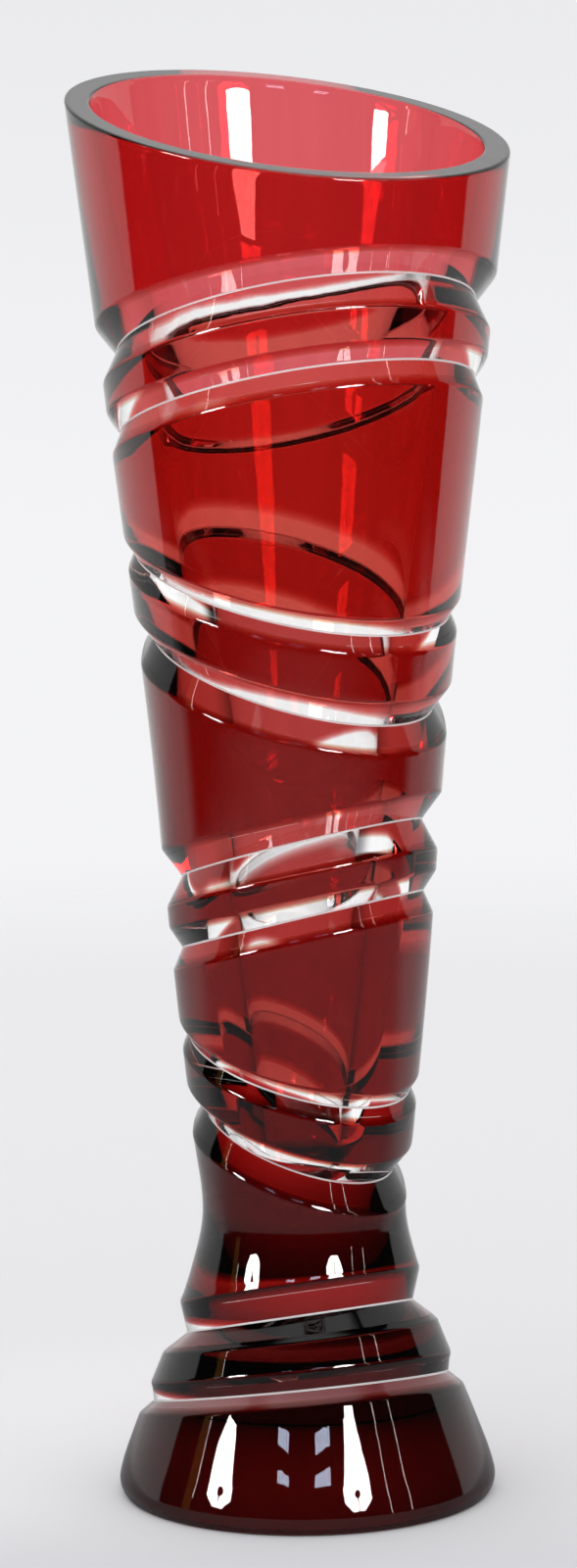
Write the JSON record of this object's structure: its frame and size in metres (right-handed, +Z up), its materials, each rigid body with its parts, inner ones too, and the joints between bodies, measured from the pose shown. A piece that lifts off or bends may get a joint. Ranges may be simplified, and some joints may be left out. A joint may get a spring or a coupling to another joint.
{
  "type": "cased cut crystal bud vase",
  "caption": "Tall flared vase with a slanted rim: a clear crystal body cased in ruby glass, cut into rings by tilted V grooves, with a tapered bore and a spreading foot.",
  "frame": {"origin": "centre of the flat ground base", "axes": "+Z up along the vase's axis, -Y towards the picture's viewer, +X to the viewer's right, where the slanted rim is low"},
  "size_m": [0.0924, 0.0924, 0.2999],
  "materials": {
    "clear_crystal": "colourless lead crystal, ground and fire polished, gloss all over",
    "ruby_casing": "transparent ruby glass fused over the clear body, polished, deeper in tone towards the foot"
  },
  "bodies": {
    "root": {"crystal_body": "clear_crystal", "ruby_rim_collar": "ruby_casing", "ruby_first_rib": "ruby_casing", "ruby_second_band": "ruby_casing", "ruby_second_rib": "ruby_casing", "ruby_third_band": "ruby_casing", "ruby_third_rib": "ruby_casing", "ruby_fourth_band": "ruby_casing", "ruby_fourth_rib": "ruby_casing", "ruby_waist": "ruby_casing", "ruby_fifth_rib": "ruby_casing", "ruby_foot": "ruby_casing"}
  },
  "joints": []
}
